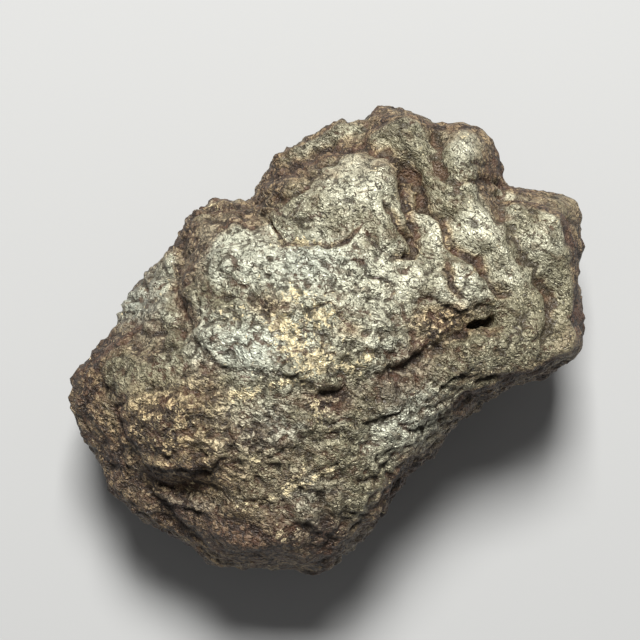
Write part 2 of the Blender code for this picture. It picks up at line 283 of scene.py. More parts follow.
KNOBS = (
    Knob("hole", 480, 323, 1.0, 0.42, 15, -1.9, 0.0),
    Knob("top edge bump", 337, 122, 0.9, 0.8, 0, 0.3, 0.1),
    Knob("white lump by the notch", 494, 188, 0.7, 0.6, 0, 0.35, 0.2),
    Knob("light lump right of the dome", 400, 222, 0.9, 2.2, 15, 0.35, 0.1),
    Knob("grey lobe in the main face", 290, 313, 1.4, 2.4, 15, 0.45, 0.1),
    Knob("ochre scale", 322, 321, 1.5, 1.4, 0, 0.25, 0.0),
    Knob("pale lump over the dark seam", 326, 385, 1.5, 0.9, 0, 0.45, 0.1),
    Knob("pale lump beside it", 293, 372, 1.4, 0.9, 30, 0.35, 0.1),
    Knob("ringed bump in the left lobe", 232, 222, 0.8, 0.8, 0, 0.3, 0.25),
    Knob("second ringed bump", 225, 265, 0.8, 0.8, 0, 0.2, 0.2),
    Knob("nodule", 171, 340, 1.0, 0.9, 0, 0.4, 0.35),
    Knob("ringed knob in the flank", 148, 328, 0.75, 0.7, 0, 0.3, 0.3),
    Knob("light flank bump", 130, 308, 0.9, 0.6, 20, 0.35, 0.15),
    Knob("lower flank bump", 115, 342, 0.7, 0.6, 0, 0.3, 0.15),
    Knob("bright flank bump", 112, 365, 0.7, 0.6, 0, 0.3, 0.1),
    Knob("second bright flank bump", 155, 358, 0.8, 0.6, 0, 0.3, 0.1),
    Knob("light bump in the cheek", 200, 428, 1.0, 0.7, -30, 0.4, 0.15),
    Knob("second light bump", 180, 460, 1.1, 0.8, 0, 0.4, 0.1),
    Knob("third light bump", 207, 463, 1.0, 0.6, 20, 0.4, 0.15),
    Knob("left pit of the hollow", 163, 489, 1.0, 0.5, -10, -0.4, 0.0),
    Knob("right pit of the hollow", 200, 478, 1.3, 0.5, 0, -0.6, 0.0),
    Knob("bumps under the hollow", 162, 497, 1.4, 0.4, -10, 0.4, 0.1),
    Knob("bump under the hollow", 195, 504, 1.0, 0.5, 0, 0.35, 0.1),
    Knob("light knob by the right lobe", 527, 335, 0.8, 0.6, 0, 0.3, 0.2),
    Knob("lower knob by the right lobe", 516, 338, 0.6, 0.5, 0, 0.25, 0.2),
    Knob("smooth lump at the right tip", 565, 342, 1.6, 2.2, 20, 0.3, 0.1),
    Knob("bump on the belly", 305, 515, 1.8, 1.4, 0, 0.35, 0.1),
    Knob("second bump on the belly", 240, 552, 0.7, 0.5, 0, 0.25, 0.1),
)

BROWN = (
    Patch("cheek", 156, 430, 5.2, 4.6, 20, 1.0),
    Patch("hollow", 180, 482, 6.0, 2.4, 0, 1.0),
    Patch("under the hollow", 178, 512, 5.5, 1.8, -10, 0.9),
    Patch("belly", 262, 548, 7.5, 3.0, -5, 1.0),
    Patch("lower left rim", 105, 440, 1.8, 7.0, 25, 0.7),
    Patch("rough hollow", 438, 320, 4.0, 2.0, 10, 0.9),
    Patch("band below the rough hollow", 418, 348, 4.5, 1.4, 35, 0.8),
    Patch("foot of the main face", 255, 440, 8.0, 4.5, 0, 0.55),
    Patch("middle of the main face", 267, 306, 2.8, 1.8, 0, 0.75),
    Patch("right of the middle", 348, 330, 2.2, 1.6, -30, 0.5),
    Patch("left of the main face", 205, 385, 2.6, 3.4, 0, 0.7),
    Patch("under the pale lump", 325, 403, 3.2, 1.5, 0, 0.9),
    Patch("belly side", 300, 500, 6.0, 3.0, 20, 0.5),
)

OCHRE = (
    Patch("above the grey lobe", 291, 294, 1.7, 1.2, 0, 0.8),
    Patch("ochre scale", 318, 317, 2.1, 1.7, 0, 0.9),
    Patch("left of the grey lobe", 281, 325, 2.2, 1.4, -30, 1.0),
    Patch("middle", 290, 347, 2.0, 1.4, 20, 0.9),
    Patch("lower middle", 312, 364, 2.4, 1.5, 25, 1.0),
    Patch("beside the pale lump", 345, 371, 1.6, 1.0, -30, 0.7),
    Patch("right of the middle", 365, 358, 1.2, 0.8, 40, 0.9),
    Patch("left stain", 242, 396, 2.2, 0.8, 10, 1.0),
    Patch("small stain", 283, 384, 1.6, 0.6, 15, 0.9),
    Patch("stain at the crack", 316, 412, 1.1, 1.6, 30, 0.7),
    Patch("stain by the ridge", 252, 462, 1.1, 0.6, 0, 0.9),
    Patch("stain on the belly crack", 288, 488, 1.8, 0.8, 40, 1.0),
    Patch("left of the belly crack", 258, 505, 2.6, 0.5, 15, 0.8),
    Patch("right of the belly crack", 320, 477, 2.8, 0.5, 28, 0.8),
    Patch("stain in the hollow", 185, 491, 1.2, 0.4, 0, 0.6),
    Patch("lower stain", 280, 538, 1.0, 0.8, 0, 0.5),
    Patch("step stain", 302, 242, 3.2, 0.6, 0, 0.8),
    Patch("top right stain", 463, 132, 0.9, 0.7, 0, 0.5),
    Patch("stain above the hole", 492, 300, 1.0, 0.6, 40, 0.6),
    Patch("rim stain", 215, 206, 2.4, 0.5, 0, 0.5),
    Patch("left of the main face", 232, 318, 1.8, 0.8, 10, 0.6),
    Patch("cheek stain", 165, 428, 3.2, 2.2, 20, 0.45),
)

# Patches of painted shade, in umber, on the rims, hollows and faces that lie in shade.
PAINTED_SHADE = (
    Patch("far left rim", 86, 395, 1.8, 5.0, 10, 0.85),
    Patch("lower left rim", 112, 462, 2.4, 5.0, 35, 0.9),
    Patch("bottom left rim", 165, 520, 6.0, 2.4, -30, 0.7),
    Patch("belly", 240, 545, 9.0, 4.0, -20, 1.0),
    Patch("bottom right rim", 325, 545, 3.4, 3.4, 40, 0.95),
    Patch("hollow", 180, 484, 6.5, 2.0, 0, 0.6),
    Patch("under the pale lump", 322, 400, 3.0, 1.3, 10, 0.7),
    Patch("lower right face", 400, 380, 5.0, 2.5, 35, 0.6),
    Patch("under the right tip", 520, 395, 5.0, 1.5, 15, 0.5),
    Patch("right tip", 566, 340, 2.6, 2.6, 20, 0.3),
    Patch("top left rim", 300, 150, 5.0, 1.6, 35, 0.2),
    Patch("left lobe rim", 225, 205, 3.5, 1.0, 0, 0.6),
    Patch("valley right of the dome", 409, 190, 0.8, 4.0, 0, 0.55),
)

PALE = (
    Patch("dome", 358, 188, 6.5, 5.6, 15, 0.62),
    Patch("under the dome", 385, 285, 5.5, 4.0, 20, 0.9),
    Patch("tongue", 430, 226, 1.6, 3.2, 30, 0.6),
    Patch("right shoulder", 478, 222, 4.6, 3.8, 70, 0.58),
    Patch("lump above the hole", 464, 288, 3.4, 2.4, 20, 1.0),
    Patch("upper main face", 295, 268, 7.5, 4.2, 5, 1.0),
    Patch("middle main face", 262, 345, 8.0, 4.2, 10, 1.0),
    Patch("left main face", 206, 338, 2.4, 3.0, 10, 0.8),
    Patch("left lobe", 228, 245, 4.2, 3.8, 0, 0.8),
    Patch("top right lobe", 462, 142, 3.2, 2.6, 0, 0.6),
    Patch("top lobe", 402, 118, 2.0, 1.6, 0, 0.4),
    Patch("top rim", 312, 140, 3.4, 1.0, 30, 0.4),
    Patch("flank bump", 130, 308, 3.4, 2.6, 20, 0.75),
    Patch("upper flank", 155, 275, 2.4, 3.6, -20, 0.7),
    Patch("right lobe", 535, 245, 5.0, 6.0, 0, 0.4),
    Patch("lower right", 372, 335, 4.4, 3.2, 0, 0.6),
    Patch("lower flank", 400, 415, 3.5, 5.0, -40, 0.7),
    Patch("facets at the lower right edge", 425, 432, 3.0, 4.0, -40, 0.9),
    Patch("foot of the main face", 250, 425, 6.0, 3.5, 0, 0.5),
)

COOL = (
    Patch("upper main face", 302, 262, 6.0, 3.6, 5, 0.8),
    Patch("middle main face", 240, 350, 7.0, 3.6, 10, 0.9),
    Patch("left lobe", 222, 270, 4.0, 5.0, 0, 0.5),
    Patch("lower flank", 400, 410, 4.0, 6.0, -40, 0.5),
    Patch("flank", 135, 300, 3.5, 5.0, 30, 0.9),
    Patch("foot of the main face", 285, 428, 7.0, 4.0, 10, 0.9),
    Patch("belly side", 310, 505, 5.0, 4.5, 30, 0.9),
    Patch("under the hollow", 185, 508, 4.0, 1.4, -10, 0.6),
    Patch("lower right face", 390, 365, 5.0, 3.0, 35, 0.7),
)

SMOOTH = (
    Patch("dome", 362, 190, 5.5, 5.5, 15, 0.85),
    Patch("tongue", 430, 226, 1.5, 3.0, 30, 0.6),
    Patch("right shoulder", 478, 222, 4.2, 3.6, 70, 0.85),
    Patch("lump above the hole", 464, 288, 3.0, 2.0, 20, 0.6),
    Patch("under the dome", 392, 285, 4.2, 2.5, 20, 0.5),
    Patch("upper main face", 302, 262, 4.6, 2.4, 5, 0.4),
    Patch("right lobe", 550, 270, 5.5, 10.0, 0, 0.9),
    Patch("top lobes", 440, 130, 7.0, 4.5, 0, 0.75),
    Patch("left lobe", 232, 245, 3.5, 3.5, 0, 0.4),
    Patch("pale skin in the middle", 250, 350, 4.5, 2.2, 10, 0.4),
    Patch("belly", 246, 547, 7.5, 2.8, -20, 1.0),
    Patch("right tip", 566, 340, 2.2, 2.6, 20, 0.7),
    Patch("bottom of the hollow", 185, 482, 4.0, 1.0, -5, 0.8),
    Patch("valley right of the dome", 409, 190, 0.9, 3.6, 0, 0.8),
    Patch("grey flank", 160, 305, 1.4, 1.2, 0, 0.5),
)

RUGGED = (
    Patch("middle of the main face", 305, 340, 7.0, 5.0, 15, 1.0),
    Patch("foot of the main face", 260, 430, 8.0, 4.0, 10, 0.8),
    Patch("rough hollow", 435, 322, 4.0, 2.5, 10, 0.8),
    Patch("lower right face", 385, 360, 5.0, 3.0, 35, 0.7),
)


# Shape


def divided_cube(cells):
    """A cube with a fine grid on each face."""
    mesh = bmesh.new()
    bmesh.ops.create_cube(mesh, size=2.0)
    bmesh.ops.subdivide_edges(mesh, edges=mesh.edges[:], cuts=cells - 1, use_grid_fill=True)
    return mesh


def ray_directions(cube_points):
    """Even directions from the cube's points, drawn together towards the rim and the side that faces up."""
    swollen = np.tan(cube_points * math.pi / 4)
    swollen /= np.linalg.norm(swollen, axis=1)[:, None]
    from_top = np.arccos(np.clip(swollen[:, 2], -1.0, 1.0))
    moved = from_top + SPREAD_TO_RIM * np.sin(2 * from_top) - SPREAD_TO_FRONT * np.sin(from_top)
    almost_nothing = 1e-9
    level = np.maximum(np.hypot(swollen[:, 0], swollen[:, 1]), almost_nothing)
    out = np.sin(moved) / level
    return np.column_stack((swollen[:, 0] * out, swollen[:, 1] * out, np.cos(moved)))


def packed_surface():
    """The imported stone's surface, rounded between its facets, as a tree for rays. It is in metres."""
    copy = bpy.data.objects.new("rounded copy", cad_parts["meteorite"].data.copy())
    scene.collection.objects.link(copy)
    welded = bmesh.new()
    welded.from_mesh(copy.data)
    bmesh.ops.remove_doubles(welded, verts=welded.verts[:], dist=WELD_REACH)
    welded.to_mesh(copy.data)
    welded.free()
    rounding = copy.modifiers.new("rounding", "SUBSURF")
    rounding.levels = HALVINGS
    rounding.render_levels = HALVINGS
    tree = BVHTree.FromObject(copy, bpy.context.evaluated_depsgraph_get())
    bpy.data.objects.remove(copy, do_unlink=True)
    return tree


def cast(tree, directions):
    """Where rays from inside the stone meet its surface."""
    start = Vector(RAY_START) * MM
    return np.array([tree.ray_cast(start, Vector(d))[0][:] for d in directions]) / MM


def nearest(tree, points):
    """The nearest place on the surface to each point."""
    return np.array([tree.find_nearest(Vector(p))[0][:] for p in points * MM]) / MM


class Web:
    """The mesh's edges, for means over neighbours."""

    def __init__(self, mesh):
        ends = np.zeros(len(mesh.edges) * 2, np.int32)
        mesh.edges.foreach_get("vertices", ends)
        edges = ends.reshape(-1, 2)
        self.ends = np.concatenate((edges, edges[:, ::-1]))
        self.count = len(mesh.vertices)
        self.share = 1.0 / np.bincount(self.ends[:, 0], minlength=self.count)

    def mean(self, values):
        """The mean of the neighbours' values at each vertex."""
        drawn = values[self.ends[:, 1]]
        if values.ndim == 1:
            return np.bincount(self.ends[:, 0], drawn, self.count) * self.share
        sums = [np.bincount(self.ends[:, 0], drawn[:, axis], self.count) for axis in range(3)]
        return np.column_stack(sums) * self.share[:, None]

    def smooth(self, values, rounds):
        """Values evened out over a number of rounds of neighbours."""
        for _ in range(rounds):
            values = 0.5 * (values + self.mean(values))
        return values


def ramp(values, low, high):
    """0 below low, 1 above high and a smooth rise between them."""
    part = np.clip((values - low) / (high - low), 0.0, 1.0)
    return part * part * (3.0 - 2.0 * part)


def noise_at(points, size, shift):
    """Soft noise, from about -1 to 1, with lumps of the given size."""
    return np.array([noise.noise(Vector(p)) for p in points / size + shift])


def billows(points, lumps):
    """Rounded lumps with sharp creases between them, from about 0 to 1."""
    places = points / lumps.size + lumps.shift
    return np.array([noise.turbulence(Vector(p), lumps.octaves, True) for p in places])


def broken_lumps(points, lumps):
    """Noise whose finer octaves are each half the size of the last and a little lower."""
    fall = -math.log2(RUBBLE_FALL)
    places = points / lumps.size + lumps.shift
    return np.array([noise.fractal(Vector(p), fall, 2.0, lumps.octaves) for p in places])


def drifted(points, drift):
    """The points moved about by soft noise, so that lumps become irregular."""
    moved = [noise_at(points, drift.size, drift.shift + apart) for apart in AXIS_SHIFTS]
    return points + drift.reach * np.column_stack(moved)


def uneven(points, strength):
    """A strength that noise changes from place to place."""
    return strength.middle + strength.swing * noise_at(points, strength.size, strength.shift)


def from_pixel(x, y):
    """A pixel of the photograph, in millimetres on the level where the stone is widest."""
    return (x - ORIGIN_PIXEL[0]) / PIXELS_PER_MM, (ORIGIN_PIXEL[1] - y) / PIXELS_PER_MM


def camera_place():
    """The camera's place, in millimetres, so that the picture's middle is where the photograph has it."""
    middle = PICTURE_SIDE / 2
    x, y = from_pixel(middle, middle)
    return x, y, WIDEST_LEVEL + CAMERA_RISE


def seen(points):
    """Where the camera sees each point, in millimetres on the level where the stone is widest."""
    eye = np.array(camera_place())
    grown = CAMERA_RISE / (eye[2] - points[:, 2])
    return eye[:2] + (points[:, :2] - eye[:2]) * grown[:, None]


def along_path(place, path):
    """For each place: its distance to the path, its distance to the left of it, and how far along it is."""
    stops = [from_pixel(x, y) for x, y in path]
    lengths = [math.dist(a, b) for a, b in zip(stops, stops[1:])]
    whole = sum(lengths)
    distance = np.full(len(place), np.inf)
    left = np.zeros(len(place))
    along = np.zeros(len(place))
    gone = 0.0
    for (x0, y0), (x1, y1), length in zip(stops, stops[1:], lengths):
        run = ((x1 - x0) / length, (y1 - y0) / length)
        off_x = place[:, 0] - x0
        off_y = place[:, 1] - y0
        forward = np.clip(off_x * run[0] + off_y * run[1], 0.0, length)
        gap = np.hypot(off_x - forward * run[0], off_y - forward * run[1])
        nearer = gap < distance
        distance = np.where(nearer, gap, distance)
        left = np.where(nearer, np.sign(off_y * run[0] - off_x * run[1]) * gap, left)
        along = np.where(nearer, (gone + forward) / whole, along)
        gone += length
    return distance, left, along


def within_ends(along, past):
    """1 along a path, falling towards its ends, or towards a share of its length past them."""
    return ramp(along, -past, END_FADE) * ramp(1.0 - along, -past, END_FADE)


def bell(values, middle, width):
    """1 at the middle, falling off to both sides."""
    return np.exp(-((values - middle) / width) ** 2)


def trough(place, stroke):
    """1 along a stroke's path, falling off to both sides."""
    distance, _, along = along_path(place, stroke.path)
    fullness = END_SHARE + (1.0 - END_SHARE) * within_ends(along, PAST_ENDS)
    return np.exp(-(distance / stroke.half_width) ** GROOVE_STEEPNESS) * fullness


def ledge_height(place, ledge):
    """A step whose left side stands up at the path and sinks away behind it, with a shadow gap below."""
    distance, left, along = along_path(place, ledge.path)
    stands = ramp(left, -ledge.drop, 0.0) * np.exp(-np.maximum(left, 0.0) / ledge.reach)
    gap = GAP_DEPTH * bell(left, -GAP_DROPS * ledge.drop, ledge.drop)
    near = bell(distance, 0.0, LEDGE_SPREAD * ledge.reach)
    return ledge.height * within_ends(along, 0.0) * near * (stands - gap)


def oval(place, spot):
    """How far each place is from an oval's middle, as a share of its size."""
    x, y = from_pixel(spot.x, spot.y)
    turn = math.radians(spot.turn)
    off_x = place[:, 0] - x
    off_y = place[:, 1] - y
    along = off_x * math.cos(turn) + off_y * math.sin(turn)
    across = off_y * math.cos(turn) - off_x * math.sin(turn)
    return np.hypot(along / spot.length, across / spot.width)


def knob_height(place, knob):
    """A rounded knob, or a pit, with a fine moat round it."""
    apart = oval(place, knob)
    moat = knob.moat * bell(apart, MOAT_RADIUS, MOAT_HALF_WIDTH)
    return knob.height * np.exp(-apart**KNOB_STEEPNESS) - moat


def patches(place, spots):
    """How strongly each place is covered by soft patches."""
    clear = np.ones(len(place))
    for spot in spots:
        clear *= 1.0 - spot.amount * np.exp(-oval(place, spot) ** 2)
    return 1.0 - clear


def front_strokes(place):
    """The height of everything that is drawn on the side that faces up."""
    total = np.zeros(len(place))
    for groove in GROOVES:
        total -= groove.depth * trough(place, groove)
    for ridge in RIDGES:
        total += ridge.height * trough(place, ridge)
    for ledge in LEDGES:
        total += ledge_height(place, ledge)
    for knob in KNOBS:
        total += knob_height(place, knob)
    return total


def groove_stain(place):
    """How brown each place is because a groove runs there."""
    clear = np.ones(len(place))
    for groove in GROOVES:
        clear *= 1.0 - groove.stain * trough(place, groove)
    return 1.0 - clear


def groove_and_ledge_shade(place):
    """How much painted shade lies at each place, along the bottom of a groove or in the gap under a ledge.
    """
    clear = np.ones(len(place))
    for groove in GROOVES:
        clear *= 1.0 - GROOVE_SEAM_SHADE * trough(place, groove) ** GROOVE_SEAM_STEEPNESS
    for ledge in LEDGES:
        _, left, along = along_path(place, ledge.path)
        under = bell(left, -LEDGE_SEAM_DROPS * ledge.drop, LEDGE_SEAM_WIDTH * ledge.drop)
        clear *= 1.0 - LEDGE_SEAM_SHADE * within_ends(along, 0.0) * under
    return 1.0 - clear


def along_the_grain(points):
    """The points squeezed along the crust's grain, so that lumps become longer that way."""
    run = np.array((math.cos(GRAIN_TURN), math.sin(GRAIN_TURN), 0.0))
    return points - np.outer(points @ run, run) * GRAIN_STRETCH


def crumple(points, calm, rugged):
    """The lumps and wrinkles of the crust. Calm places have fewer small ones and rugged places more."""
    rough = (1.0 - calm) * (1.0 + RUGGED_GAIN * rugged)
    coarse_points = drifted(points, COARSE_DRIFT)
    fine_points = drifted(points, FINE_DRIFT)
    large = LUMP_HEIGHT * billows(coarse_points, LARGE_LUMPS)
    creases = (CALM_CREASE_HEIGHT + CREASE_HEIGHT * rough) * billows(along_the_grain(fine_points), CREASES)
    small = BUMP_HEIGHT * billows(fine_points, BUMPS) + RUBBLE_HEIGHT * broken_lumps(fine_points, RUBBLE)
    return large + creases + rough * small - MIDDLE_HEIGHT


def fitted(points):
    """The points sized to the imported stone's box."""
    low = np.array(cad_box[0][:]) / MM
    high = np.array(cad_box[1][:]) / MM
    now_low = points.min(axis=0)
    now_high = points.max(axis=0)
    return low + (points - now_low) * (high - low) / (now_high - now_low)


def facing_of(mesh):
    """The direction that each vertex faces."""
    found = np.zeros(len(mesh.vertices) * 3, np.float32)
    mesh.vertices.foreach_get("normal", found)
    return found.reshape(-1, 3).astype(float)


def put(mesh, points):
    """Moves the mesh's vertices to points given in millimetres."""
    mesh.vertices.foreach_set("co", (points * MM).astype(np.float32).ravel())
    mesh.update()


def note(mesh, name, values):
    """Keeps a value at each vertex for the material to read."""
    attribute = mesh.attributes.new(name, "FLOAT", "POINT")
    attribute.data.foreach_set("value", values.astype(np.float32))


def lay_out(mesh, cube_points):
    """The map that baking uses: the cube's six faces, in two rows of three."""
    layer = mesh.uv_layers.new(name="OFBake")
    corners = np.zeros(len(mesh.loops), np.int32)
    mesh.loops.foreach_get("vertex_index", corners)
    spots = cube_points[corners]
    middles = spots.reshape(-1, 4, 3).mean(axis=1)
    outward = np.abs(middles).argmax(axis=1)
    axis = np.repeat(outward, 4)
    side = np.repeat(np.sign(middles[np.arange(len(middles)), outward]), 4)
    across = np.where(axis == 0, spots[:, 1], spots[:, 0])
    up = np.where(axis == 2, spots[:, 1], spots[:, 2])
    u = (axis + 0.5 + across * MAP_FILL / 2) / 3
    v = ((side > 0) + 0.5 + up * MAP_FILL / 2) / 2
    layer.uv.foreach_set("vector", np.column_stack((u, v)).astype(np.float32).ravel())


# The surface before it is crumpled: its points and facings, where the photograph shows them, the same
# places moved a little so that strokes wander, and 1 on the front and 0 on the back.
Skin = namedtuple("Skin", "points facing place wandering front")


def smooth_skin(mesh, web, cube_points):
    """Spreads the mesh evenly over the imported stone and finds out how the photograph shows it."""
    tree = packed_surface()
    points = cast(tree, ray_directions(cube_points))
    for _ in range(EVENING_ROUNDS):
        points = nearest(tree, web.mean(points))
    put(mesh, points)
    facing = web.smooth(facing_of(mesh), FACING_ROUNDS)
    facing /= np.linalg.norm(facing, axis=1)[:, None]
    place = seen(points)
    strays = [noise_at(points, WANDER_SIZE, shift) for shift in WANDER_SHIFTS]
    wandering = place + WANDER_REACH * np.column_stack(strays)
    return Skin(points, facing, place, wandering, ramp(facing[:, 2], *FRONT_FACING))


def covered(skin, spots, cloud):
    """How strongly each place is covered: by patches on the front, and by clouds elsewhere."""
    clouded = cloud.amount * ramp(noise_at(skin.points, cloud.size, cloud.shift), cloud.low, cloud.high)
    return skin.front * patches(skin.place, spots) + (1.0 - skin.front) * clouded


def crust_height(skin, calm):
    """How far the crust stands out of the smooth skin."""
    drawn = uneven(skin.points, STROKE_STRENGTH) * front_strokes(skin.wandering)
    return skin.front * drawn + crumple(skin.points, calm, skin.front * patches(skin.place, RUGGED))


def note_looks(mesh, web, skin, calm, height):
    """Keeps at each vertex what the material reads there."""
    brown = np.maximum(covered(skin, BROWN, BACK_BROWN), skin.front * groove_stain(skin.wandering))
    pale = covered(skin, PALE, BACK_PALE)
    # Painted shade: umber on the places that face down, and on the patches of painted shade.
    turned_down_shade = ramp(-skin.facing[:, 2], *FLANK_SHADE_FACING) * uneven(skin.points, FLANK_SHADE_STRENGTH)
    turned_down_shade *= 1.0 - PALE_KEEPS_OFF * skin.front * pale
    flank = np.maximum(turned_down_shade, skin.front * patches(skin.place, PAINTED_SHADE))
    sunken = ((web.smooth(skin.points, WIDE_ROUNDS) - skin.points) * skin.facing).sum(axis=1)
    low_lying = web.smooth(height, WIDE_ROUNDS) - web.smooth(height, DETAIL_ROUNDS)
    # The brown value carries the flank's painted shade as well as the crust's brown, and the flank value is
    # painted shade.
    note(mesh, "brown", np.maximum(brown, flank))
    note(mesh, "flank", flank)
    note(mesh, "pale", pale)
    # Painted shade along the bottoms of grooves and under ledges.
    note(mesh, "seam", skin.front * groove_and_ledge_shade(skin.wandering))
    note(mesh, "ochre", covered(skin, OCHRE, BACK_OCHRE))
    note(mesh, "cool", covered(skin, COOL, BACK_COOL))
    note(mesh, "calm", calm)
    note(mesh, "recess", web.smooth(height, NEAR_ROUNDS) - height)
    note(mesh, "valley", SUNKEN_SHARE * sunken + low_lying)


def stone_mesh():
    """The fine crust, with what the material reads at each vertex."""
    grid = divided_cube(CELLS)
    cube_points = np.array([vertex.co[:] for vertex in grid.verts])
    mesh = bpy.data.meshes.new("stone")
    grid.to_mesh(mesh)
    grid.free()
    web = Web(mesh)
    skin = smooth_skin(mesh, web, cube_points)
    calm = covered(skin, SMOOTH, BACK_SMOOTH)
    height = crust_height(skin, calm)
    off_the_floor = ramp(skin.points[:, 2], *RESTING_LEVELS)
    put(mesh, fitted(skin.points + skin.facing * (height * off_the_floor)[:, None]))
    note_looks(mesh, web, skin, calm, height)
    lay_out(mesh, cube_points)
    mesh.shade_smooth()
    return mesh


# Material


class Wire:
    """An output of a material's node. Arithmetic on it adds Math nodes."""

    def __init__(self, board, socket):
        self.board = board
        self.socket = socket

    def maths(self, operation, *values):
        """A Math node on the given values, which are wires or numbers."""
        return self.board.node("ShaderNodeMath", {"operation": operation}, dict(enumerate(values)))

    def __add__(self, other):
        return self.maths("ADD", self, other)

    def __sub__(self, other):
        return self.maths("SUBTRACT", self, other)

    def __rsub__(self, other):
        return self.maths("SUBTRACT", other, self)

    def __mul__(self, other):
        return self.maths("MULTIPLY", self, other)

    def __abs__(self):
        return self.maths("ABSOLUTE", self)

    __radd__ = __add__
    __rmul__ = __mul__

    def ramp(self, start, full):
        """0 at the start and 1 where it is full, with a smooth rise, or a fall if full is the lower."""
        settings = {"interpolation_type": "SMOOTHSTEP"}
        return self.board.node("ShaderNodeMapRange", settings, {0: self, 1: start, 2: full, 3: 0.0, 4: 1.0})

    def most(self, other):
        """The larger of two values."""
        return self.maths("MAXIMUM", self, other)


class Board:
    """A material's nodes."""

    def __init__(self, name):
        self.material = bpy.data.materials.new(name)
        self.material.use_nodes = True
        self.nodes = self.material.node_tree.nodes
        self.inputs = self.nodes["Principled BSDF"].inputs

    def node(self, kind, settings, sockets, output=0):
        """Adds a node, sets it up, feeds its sockets and returns one of its outputs."""
        made = self.nodes.new(kind)
        for name, value in settings.items():
            setattr(made, name, value)
        for name, value in sockets.items():
            self.feed(made.inputs[name], value)
        return Wire(self, made.outputs[output])

    def feed(self, socket, value):
        """Links a wire to a socket, or sets the socket to a value."""
        if isinstance(value, Wire):
            self.material.node_tree.links.new(value.socket, socket)
        else:
            socket.default_value = value

    def noted(self, name):
        """A value that the mesh keeps at its vertices."""
        return self.node("ShaderNodeAttribute", {"attribute_name": name}, {}, "Fac")

    def scaled(self, vector, factor):
        """A vector made longer or shorter."""
        return self.node("ShaderNodeVectorMath", {"operation": "SCALE"}, {0: vector, "Scale": factor})

    def added(self, first, second):
        """The sum of two vectors."""
        return self.node("ShaderNodeVectorMath", {"operation": "ADD"}, {0: first, 1: second})

    def grain(self, where, grain, output="Fac"):
        """Noise from 0 to 1."""
        sockets = {
            "Vector": where,
            "Scale": 1.0 / grain.size,
            "Detail": grain.octaves,
            "Roughness": grain.roughness,
        }
        return self.node("ShaderNodeTexNoise", {}, sockets, output)

    def stretched(self, where, turn, longer):
        """Places for patterns that are longer along a bearing and shorter across it."""
        sockets = {"Vector": where, "Rotation": (0.0, 0.0, turn), "Scale": (longer, 1.0 / longer, 1.0)}
        return self.node("ShaderNodeMapping", {"vector_type": "TEXTURE"}, sockets)

    def creases(self, where, grain, width):
        """1 along the winding lines where noise passes its middle value, and 0 away from them."""
        return 1 - abs(self.grain(where, grain) - NOISE_MIDDLE).ramp(0.0, width)

    def cobbles(self, where, size):
        """The distance to the nearest of many scattered places, for a surface of small rounded stones."""
        return self.node("ShaderNodeTexVoronoi", {}, {"Vector": where, "Scale": 1.0 / size}, "Distance")

    def blend(self, share, first, second):
        """The first colour where the share is 0 and the second where it is 1."""
        return self.node("ShaderNodeMix", {"data_type": "RGBA"}, {0: share, 6: first, 7: second}, 2)


CREAM = (0.62, 0.605, 0.45, 1.0)
MINT = (0.56, 0.585, 0.475, 1.0)
OLIVE = (0.27, 0.245, 0.155, 1.0)
TAN = (0.63, 0.475, 0.255, 1.0)
SAGE = (0.60, 0.58, 0.455, 1.0)
# The colour of the painted shade on the flanks and in the shaded patches.
SHADE_UMBER = (0.078, 0.036, 0.022, 1.0)
CHOCOLATE = (0.11, 0.072, 0.038, 1.0)
RUST = (0.085, 0.04, 0.02, 1.0)
# The colours of the painted shade in the creases, seams, pits and pores.
DARK_BROWN = (0.026, 0.015, 0.009, 1.0)
DARK_OLIVE = (0.045, 0.034, 0.019, 1.0)
OCHRE_YELLOW = (0.88, 0.74, 0.44, 1.0)

# The crust's noises. The sizes of their lumps are in millimetres.
Grain = namedtuple("Grain", "size octaves roughness")
NOISE_MIDDLE = 0.5
STIR = Grain(0.8, 2.0, 0.6)
CLOUDS = Grain(3.2, 3.0, 0.6)
MOTTLES = Grain(1.4, 3.0, 0.6)
FOLDS = Grain(2.0, 2.0, 0.5)
WRINKLES = Grain(0.8, 1.0, 0.5)
BREAKS = Grain(0.7, 1.0, 0.5)
FINE = Grain(0.45, 1.0, 0.5)
SPECKS = Grain(0.16, 2.0, 0.6)
RUST_SPOTS = Grain(2.2, 2.0, 0.5)
STAINS = Grain(0.6, 3.0, 0.65)
COBBLE_SIZE = 0.6
STIR_REACH = 1.2
GRAIN_LONGER = 1.4
FOLD_WIDTH = 0.022
WRINKLE_WIDTH = 0.035

# The values where each pattern starts and where it is full.
VALLEY_EDGE = (0.25, 1.1)
BROWN_EDGE = (0.1, 0.8)
PALE_EDGE = (0.0, 0.8)
COARSE_EDGE = (0.58, 0.40)
MOTTLE_EDGE = (0.54, 0.59)
FOLD_EDGE = (0.40, 0.52)
WRINKLE_EDGE = (0.56, 0.44)
RUST_EDGE = (0.5, 0.62)
RECESS_EDGE = (0.02, 0.12)
PORE_EDGE = (0.40, 0.33)
COBBLE_EDGE = (0.42, 0.64)
STAIN_EDGE = (0.42, 0.56)

# How much more brown, pale or mottled one thing makes the crust where another lies.
# The extra brown in the valleys is painted shade.
VALLEY_BROWN_SHADE = 0.3
BROWN_FROM_CLOUDS = 0.9
PALE_FROM_CLOUDS = 1.5
MOTTLE_FROM_BROWN = 0.07
MOTTLE_LOST_IN_CALM = 0.06
COARSE_OUTSIDE_BROWN = 0.6
STAIN_FROM_OCHRE = 0.78
STAIN_FROM_NOISE = 2.6

# How strongly each layer covers the ones under it.
MOTTLE_COVER = 0.6
MOTTLE_COVER_IN_BROWN = 0.25
# How strongly the flank's painted shade covers the crust.
FLANK_SHADE_COVER = 0.9
RUST_COVER = 0.8
